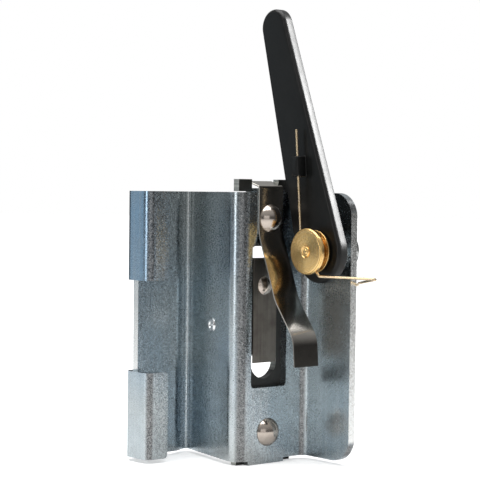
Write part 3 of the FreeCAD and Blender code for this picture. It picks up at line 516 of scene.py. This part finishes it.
def make_keeper_leaf():
    """Flat strip that lies in the slot against the back plate."""
    face = PLATE_FACE + 0.7
    low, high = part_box("keeper_leaf_blade")[0].z / MM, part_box("keeper_leaf_seat")[1].z / MM
    line = subdivided([Vector((face, 0, high)), Vector((face, 0, low))], 1.0)
    made = strip("keeper_leaf", [(p.x, p.z) for p in line], 0.7, 11.3, KEEPER, 0.15)
    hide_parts("keeper_leaf_seat", "keeper_leaf_blade")
    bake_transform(made)


# ------------------------------------------------------------ rivets, spool and pin

def dome_outline(base, apex, radius, steps=12):
    """Spherical cap from the apex on the axis down to its rim at the base."""
    rise = apex - base
    ball = (radius ** 2 + rise ** 2) / (2 * abs(rise))
    centre = apex - math.copysign(ball, rise)
    reach = math.asin(min(1.0, radius / ball))
    if abs(rise) > ball:
        reach = math.pi - reach
    sign = math.copysign(1.0, rise)
    return [(centre + sign * ball * math.cos(reach * k / steps), ball * math.sin(reach * k / steps))
            for k in range(steps + 1)]


def make_rivet(node, head, dome, tail, tail_dome, shank, axis, grip, origin, material):
    """Domed rivet; the origin is on the grip's front face and the axis points out of the head."""
    head_line = dome_outline(0.25, dome, head)
    tail_line = dome_outline(-grip - 0.1, -grip - tail_dome, tail)
    outline = head_line + [(0.0, head - 0.04), (0.0, shank), (-grip, shank), (-grip, tail - 0.04)]
    outline += list(reversed(tail_line))
    made = lathe(node + "_set", outline, origin, axis, material, "frame")
    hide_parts(node)


def make_rivets():
    """The three domed rivets, each from its head's face through to behind the back plate."""
    for node, dome, head, shank, tail, tail_dome, face in (
            ("upper_rivet", 3.2, 5.2, 3.0, 4.4, 1.8, WALL_FACE + 0.5),
            ("lower_rivet", 3.2, 5.2, 3.0, 4.4, 1.8, WALL_FACE),
            ("keeper_rivet", 1.9, 3.7, 2.0, 3.2, 1.4, PLATE_FACE + 0.7)):
        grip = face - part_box("back_plate")[0].x / MM
        height = middle(node).z / MM
        make_rivet(node, head, dome, tail, tail_dome, shank, (1, 0, 0), grip,
                   (face, 0.0, height), POLISHED)


def make_wall_rivet():
    """Small flat rivet in the slanted wall: a raised ring, a groove and a middle button."""
    low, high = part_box("wall_rivet")
    ridge = Vector((WALL_FACE, RIDGE_Y, 0.0))
    valley = Vector((VALLEY_X, VALLEY_Y, 0.0))
    run = (valley - ridge).normalized()
    out = Vector((run.y, -run.x, 0.0))
    out = -out if out.y > 0 else out
    height = (low.z + high.z) / 2 / MM
    seat = ridge + run * ((RIVET_X - ridge.x) / run.x) + Vector((0.0, 0.0, height))
    corners = [(0.35, 0.0), (0.35, 0.55), (0.12, 0.85), (0.12, 1.2), (0.62, 1.5), (0.62, 2.2), (0.0, 2.75),
               (-3.0, 2.75), (-3.0, 4.3), (-4.1, 4.0), (-5.0, 2.2), (-5.0, 0.0)]
    radii = [0.15, 0.12, 0.12, 0.2, 0.25, 0.1, 0.0, 0.0, 0.3, 1.2, 1.0]
    made = lathe("wall_rivet_set", flat_outline(corners, radii), seat, out, BRIGHT, "frame", 64)
    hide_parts("wall_rivet")


def make_spool():
    """Grooved brass disc with eased rims, a fine step on its face and a dimple round the pin."""
    front, back = SPOOL_FRONT, SPOOL_BACK
    corners = [(front + 0.35, 0.0), (front + 0.35, 2.0), (front, 2.35), (front, 7.5), (front + 0.12, 7.7),
               (front + 0.12, 8.1), (front + 0.5, 8.5), (front + 1.65, 8.5), (front + 1.65, 5.3),
               (front + 4.15, 5.3), (front + 4.15, 7.9), (back, 7.9), (back, 0.0)]
    radii = [0.1, 0.15, 0.08, 0.05, 0.1, 0.2, 0.2, 0.1, 0.1, 0.15, 0.2]
    made = lathe("spool_turned", flat_outline(corners, radii), (PIVOT.x, 0.0, PIVOT.z), (0, 1, 0),
                 BRASS, "frame", 128)
    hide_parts("spool")


def make_pin():
    """Pivot pin: small riveted-over neck in the spool's face and a broad tail behind the flange."""
    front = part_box("pivot_pin")[0].y / MM
    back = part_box("pivot_pin")[1].y / MM
    tail = FLANGE_BACK + 1.0
    corners = [(front, 0.0), (front, 0.7), (front + 0.3, 1.0), (front + 0.12, 1.5), (front + 0.4, 1.8),
               (SPOOL_BACK, 1.8), (SPOOL_BACK, 3.0), (tail, 3.0), (tail, 5.2), (back - 0.9, 5.2),
               (back, 3.6), (back, 0.0)]
    radii = [0.1, 0.1, 0.1, 0.1, 0.0, 0.0, 0.0, 0.1, 0.3, 0.9]
    made = lathe("pivot_pin_turned", flat_outline(corners, radii), (PIVOT.x, 0.0, PIVOT.z), (0, 1, 0),
                 BRASS, "frame", 96)
    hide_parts("pivot_pin")


# ------------------------------------------------------------ lever

LEAN = math.radians(17.3)
REACH = 87.7
BASE_RADIUS = 11.8
TIP_RADIUS = 6.695
LEG_LEAN = 4.5        # degrees by which the spring's upper leg leans
SKIN = 1.4
ROLL = 1.4            # radius of the rolled front edge
RIM = 0.35            # radius of the rim behind
INSIDE = 0.6          # radius of the corner inside the shell


def lever_ring(inset, y, count=40):
    """The lever's outline, drawn in by an inset: two arcs and their common tangents."""
    base, tip = BASE_RADIUS - inset, TIP_RADIUS - inset
    slope = math.asin((base - tip) / REACH)
    along = Vector((-math.sin(LEAN), 0.0, math.cos(LEAN)))
    across = Vector((math.cos(LEAN), 0.0, math.sin(LEAN)))
    centre = Vector((PIVOT.x, y, PIVOT.z))
    ring = []
    for k in range(count + 1):
        angle = slope + (math.pi - 2 * slope) * k / count
        ring.append(centre + along * (REACH + tip * math.sin(angle)) + across * tip * math.cos(angle))
    for k in range(count + 1):
        angle = math.pi - slope + (math.pi + 2 * slope) * k / count
        ring.append(centre + along * base * math.sin(angle) + across * base * math.cos(angle))
    return ring


def make_lever():
    """Pressed shell: flat face, rolled edge, side wall, rounded rim and a hollow back."""
    face, back = LEVER_FACE, LEVER_BACK
    eighths = [math.pi / 2 * k / 8 for k in range(1, 9)]
    quarters = [math.pi / 2 * k / 4 for k in range(5)]
    section = [(SKIN, face)]
    section += [(SKIN - ROLL * math.sin(a), face + ROLL * (1 - math.cos(a))) for a in eighths]
    section += [(RIM * (1 - math.cos(a)), back - RIM + RIM * math.sin(a)) for a in quarters]
    section += [(SKIN - RIM + RIM * math.sin(a), back - RIM + RIM * math.cos(a)) for a in quarters]
    section += [(SKIN + INSIDE * (1 - math.cos(a)), face + SKIN + INSIDE - INSIDE * math.sin(a))
                for a in quarters]
    rings = [lever_ring(inset, y) for inset, y in section]
    made = loft("lever_shell", rings, BLACK, "lever")
    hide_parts("lever")
    return made


def make_lug():
    """Lug with eased edges; the spring's leg passes up through it."""
    low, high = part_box("spring_lug")
    lean = math.radians(LEG_LEAN)
    centre = Vector(((low.x + high.x) / 2 / MM, 0.0, (low.z + high.z) / 2 / MM))
    along = Vector((-math.sin(lean), 0.0, math.cos(lean)))
    across = Vector((math.cos(lean), 0.0, math.sin(lean)))
    front = low.y / MM
    ease = 0.4
    corner = 0.5
    foot = -0.25          # the foot spreads a little where it meets the lever
    sections = [(ease, front), (ease * 0.3, front + ease * 0.3), (0.0, front + ease),
                (0.0, LEVER_FACE - 0.2), (foot, LEVER_FACE + 0.02)]
    rings = []
    for inset, y in sections:
        half_w, half_h = 2.0 - inset, 3.7 - inset
        ring = []
        for sx, sz, start in ((1, 1, 0), (-1, 1, 90), (-1, -1, 180), (1, -1, 270)):
            for k in range(5):
                a = math.radians(start + 90 * k / 4)
                u = sx * (half_w - corner) + corner * math.cos(a)
                v = sz * (half_h - corner) + corner * math.sin(a)
                ring.append(centre + across * u + along * v + Vector((0.0, y, 0.0)))
        rings.append(ring)
    made = loft("spring_lug_block", rings, BLACK, "lever")
    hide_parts("spring_lug")


# ------------------------------------------------------------ torsion spring

WIRE_RADIUS = 0.5
COIL_RADIUS = 6.1
COIL_STEP = 1.35
COIL_TURN = 450.0 - LEG_LEAN
FLAT_TURN = 118.0     # this much of the coil lies in one plane, so the leg's arc slides along it
STEP_TURN = 140.0     # over this much more it steps forward
ARC_TURN = 100.0      # how far the leg's arc reaches into the coil
SLEEVE = 0.95         # the sleeve's inside as a share of the wire
SLEEVE_RINGS = 40
SPRING_TIP = Vector((46.0, 12.0, 70.5))


def coil_point(angle):
    """Point of the coil; 0 degrees is where the upper leg meets it.  The coil steps forward only
    after the stretch that the leg's arc reaches as the lever swings."""
    around = math.radians(180.0 + LEG_LEAN + angle)
    share = min(max((angle - FLAT_TURN) / STEP_TURN, 0.0), 1.0)
    share = share * share * (3 - 2 * share)
    rear = SPOOL_FRONT + 1.65 + 2.5 - WIRE_RADIUS - 0.05
    return Vector((PIVOT.x + COIL_RADIUS * math.cos(around), rear - COIL_STEP * share,
                   PIVOT.z + COIL_RADIUS * math.sin(around)))


def lower_leg(foot):
    """From the coil's foot out past the flange's edge, then hooked back behind the flange."""
    tip = SPRING_TIP
    behind = FLANGE_BACK + WIRE_RADIUS + 0.4
    edge = FLANGE_EDGE + WIRE_RADIUS + 0.8
    route = [foot,
             foot + Vector((2.6, 0, 0)),
             Vector((PIVOT.x + 5.2, foot.y - 0.1, tip.z + 0.2)),
             tip,
             Vector((edge + 1.6, FLANGE_BACK - 1.6, tip.z - 2.4)),
             Vector((edge - 1.6, behind, tip.z - 3.3)),
             Vector((edge - 5.5, behind, tip.z - 3.6))]
    return subdivided(rounded(route, [1.2, 1.2, 0.75, 1.0, 0.9], 10.0), 3.0)


def make_coil():
    """Fixed coil and lower leg; the upper leg's arc slides in a thin sleeve at the coil's start."""
    coil = [coil_point(COIL_TURN * k / 150) for k in range(151)]
    rings = tube_rings(coil + lower_leg(coil[-1])[1:], WIRE_RADIUS)
    sleeve = [[centre + (point - centre) * SLEEVE for point in ring]
              for centre, ring in zip(coil[:SLEEVE_RINGS], rings)]
    made = loft("torsion_spring_coil", sleeve[::-1] + rings, WIRE, "frame")
    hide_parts("torsion_spring")


def make_upper_leg():
    """Leg that turns with the lever, with an arc that stays inside the coil."""
    lean = math.radians(LEG_LEAN)
    start = coil_point(0.0)
    top = (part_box("torsion_spring")[1].z / MM - start.z) / math.cos(lean)
    upward = Vector((-math.sin(lean), 0.0, math.cos(lean)))
    leg = [start + upward * (top * k / 24) for k in range(24, 0, -1)]
    line = leg + [coil_point(ARC_TURN * k / 40) for k in range(41)]
    shrink = (len(leg) - 1) / len(line)
    inside = WIRE_RADIUS * SLEEVE - 0.02
    rings = tube_rings(line, lambda s: WIRE_RADIUS if s < shrink else inside)
    loft("torsion_spring_leg", rings, WIRE, "lever")


# ------------------------------------------------------------ sheet parts from the frame

def ease_edges(node, width):
    """Round a CAD node's sharp edges with a narrow bevel."""
    made = NODES[node]
    bevel = made.modifiers.new("eased_edges", "BEVEL")
    bevel.limit_method = "ANGLE"
    bevel.angle_limit = math.radians(40)
    bevel.width = width * MM
    bevel.segments = 2
    bevel.harden_normals = False


make_leaf_spring()
make_keeper_leaf()
make_rivets()
make_wall_rivet()
make_spool()
make_pin()
LEVER = make_lever()
make_lug()
make_coil()
make_upper_leg()
for node in ("bracket", "front_washer", "rear_washer", "spacer_bush"):
    dress(node, ZINC)
dress("back_plate", OXIDE)
dress("lever_bush", BRASS)
ease_edges("bracket", 0.22)
ease_edges("back_plate", 0.15)


# ------------------------------------------------------------ studio

AIM = (0.0, -0.01, 0.08)
CAMERA_PLACE = (0.4489, -0.3898, 0.1010)
CAMERA_TURN = math.radians(50)
CAMERA_PITCH = math.radians(1.72)
CAMERA_ROLL = 0.0115


def make_camera():
    """Long lens, level with the bracket's top edge, looking across the slotted wall."""
    data = bpy.data.cameras.new("camera")
    data.sensor_width = 36.0
    data.lens = 119.8
    camera = bpy.data.objects.new("camera", data)
    bpy.context.scene.collection.objects.link(camera)
    camera.location = CAMERA_PLACE
    forward = Vector((-math.sin(CAMERA_TURN), math.cos(CAMERA_TURN), -math.tan(CAMERA_PITCH)))
    turn = forward.to_track_quat("-Z", "Y").to_matrix().to_4x4() @ Matrix.Rotation(CAMERA_ROLL, 4, "Z")
    camera.rotation_euler = turn.to_euler()
    data.clip_start = 0.01
    bpy.context.scene.camera = camera


def softbox(name, direction, distance, width, height, brightness, colour=(1, 1, 1)):
    """Rectangular area light of a given brightness that faces the object from a direction."""
    data = bpy.data.lights.new(name, "AREA")
    data.shape = "RECTANGLE"
    data.size = width
    data.size_y = height
    data.energy = brightness * math.pi * width * height
    data.color = colour
    lamp = bpy.data.objects.new(name, data)
    bpy.context.scene.collection.objects.link(lamp)
    away = Vector(direction).normalized()
    lamp.location = Vector(AIM) + away * distance
    lamp.rotation_euler = away.to_track_quat("Z", "Y").to_euler()
    return lamp


def make_floor():
    """Pale round table top with a painted pool of light: its colour darkens beyond the middle, and the camera
    sees it burnt out to white.
    """
    mesh = bpy.data.meshes.new("floor")
    sides = 96
    radius = 6.0
    rim = [(radius * math.cos(2 * math.pi * k / sides), radius * math.sin(2 * math.pi * k / sides), 0.0)
           for k in range(sides)]
    mesh.from_pydata(rim, [], [tuple(range(sides))])
    floor = bpy.data.objects.new("floor", mesh)
    bpy.context.scene.collection.objects.link(floor)
    f = Finish("pale_floor")
    distance = f.node("ShaderNodeVectorMath", operation="LENGTH")
    f.feed(distance.inputs[0], f.place)
    away = f.level(distance.outputs["Value"], 0.15, 1.3)
    grain = f.noise(400.0, 3.0, 0.6)
    paper = f.mix(f.level(grain, 0.3, 0.7), (0.90, 0.90, 0.90), (0.93, 0.93, 0.93))
    # painted pool of light: the floor's colour darkens away from the middle
    dim = f.mix(away, paper, (0.06, 0.06, 0.06))
    burnt = f.math("MULTIPLY", f.node("ShaderNodeLightPath").outputs["Is Camera Ray"],
                   f.level(away, 0.0, 0.35, 0.45, 1.2))
    f.set(Base_Color=dim, Roughness=0.8, Emission_Strength=burnt)
    f.shader.inputs["Emission Color"].default_value = (1, 1, 1, 1)
    mesh.materials.append(f.material)


def make_world():
    """White to the camera; to the metal, a dim room that is dark at eye level and pale overhead."""
    world = bpy.data.worlds.new("studio")
    bpy.context.scene.world = world
    world.use_nodes = True
    tree = world.node_tree
    tree.nodes.clear()
    place = tree.nodes.new("ShaderNodeTexCoord")
    parts = tree.nodes.new("ShaderNodeSeparateXYZ")
    tree.links.new(place.outputs["Generated"], parts.inputs[0])
    shift = tree.nodes.new("ShaderNodeMapRange")
    shift.inputs["From Min"].default_value = -1.0
    tree.links.new(parts.outputs["Z"], shift.inputs["Value"])
    ramp = tree.nodes.new("ShaderNodeValToRGB")
    tree.links.new(shift.outputs["Result"], ramp.inputs["Fac"])
    stops = [(0.0, 0.05), (0.49, 0.07), (0.56, 0.10), (0.70, 0.35), (1.0, 0.6)]
    while len(ramp.color_ramp.elements) < len(stops):
        ramp.color_ramp.elements.new(0.5)
    for element, (position, value) in zip(ramp.color_ramp.elements, stops):
        element.position = position
        element.color = (value, value, value, 1.0)
    room = tree.nodes.new("ShaderNodeBackground")
    tree.links.new(ramp.outputs["Color"], room.inputs["Color"])
    white = tree.nodes.new("ShaderNodeBackground")
    white.inputs["Color"].default_value = (1, 1, 1, 1)
    path = tree.nodes.new("ShaderNodeLightPath")
    both = tree.nodes.new("ShaderNodeMixShader")
    tree.links.new(path.outputs["Is Camera Ray"], both.inputs["Fac"])
    tree.links.new(room.outputs[0], both.inputs[1])
    tree.links.new(white.outputs[0], both.inputs[2])
    out = tree.nodes.new("ShaderNodeOutputWorld")
    tree.links.new(both.outputs[0], out.inputs["Surface"])


make_camera()
make_world()
make_floor()
# the first light falls on the lever only, along its side
rim = softbox("back_right", (0.57, 0.645, 0.53), 0.9, 0.26, 0.40, 60.0)
receivers = bpy.data.collections.new("lever_only")
receivers.objects.link(LEVER)
rim.light_linking.receiver_collection = receivers
softbox("high_back", (0.20, 0.62, 0.78), 0.9, 0.20, 0.24, 2.6)
softbox("behind_camera", (0.80, -0.60, 0.06), 1.3, 0.9, 0.7, 0.66)
softbox("front", (-0.03, -1.0, 0.12), 1.0, 0.22, 0.8, 3.0)
softbox("left_side", (-0.78, -0.60, 0.08), 1.1, 0.5, 0.9, 0.50, (0.80, 0.92, 1.0))
softbox("overhead", (-0.05, -0.1, 1.0), 1.1, 1.2, 1.2, 3.6)
bpy.context.scene.view_settings.view_transform = "Standard"
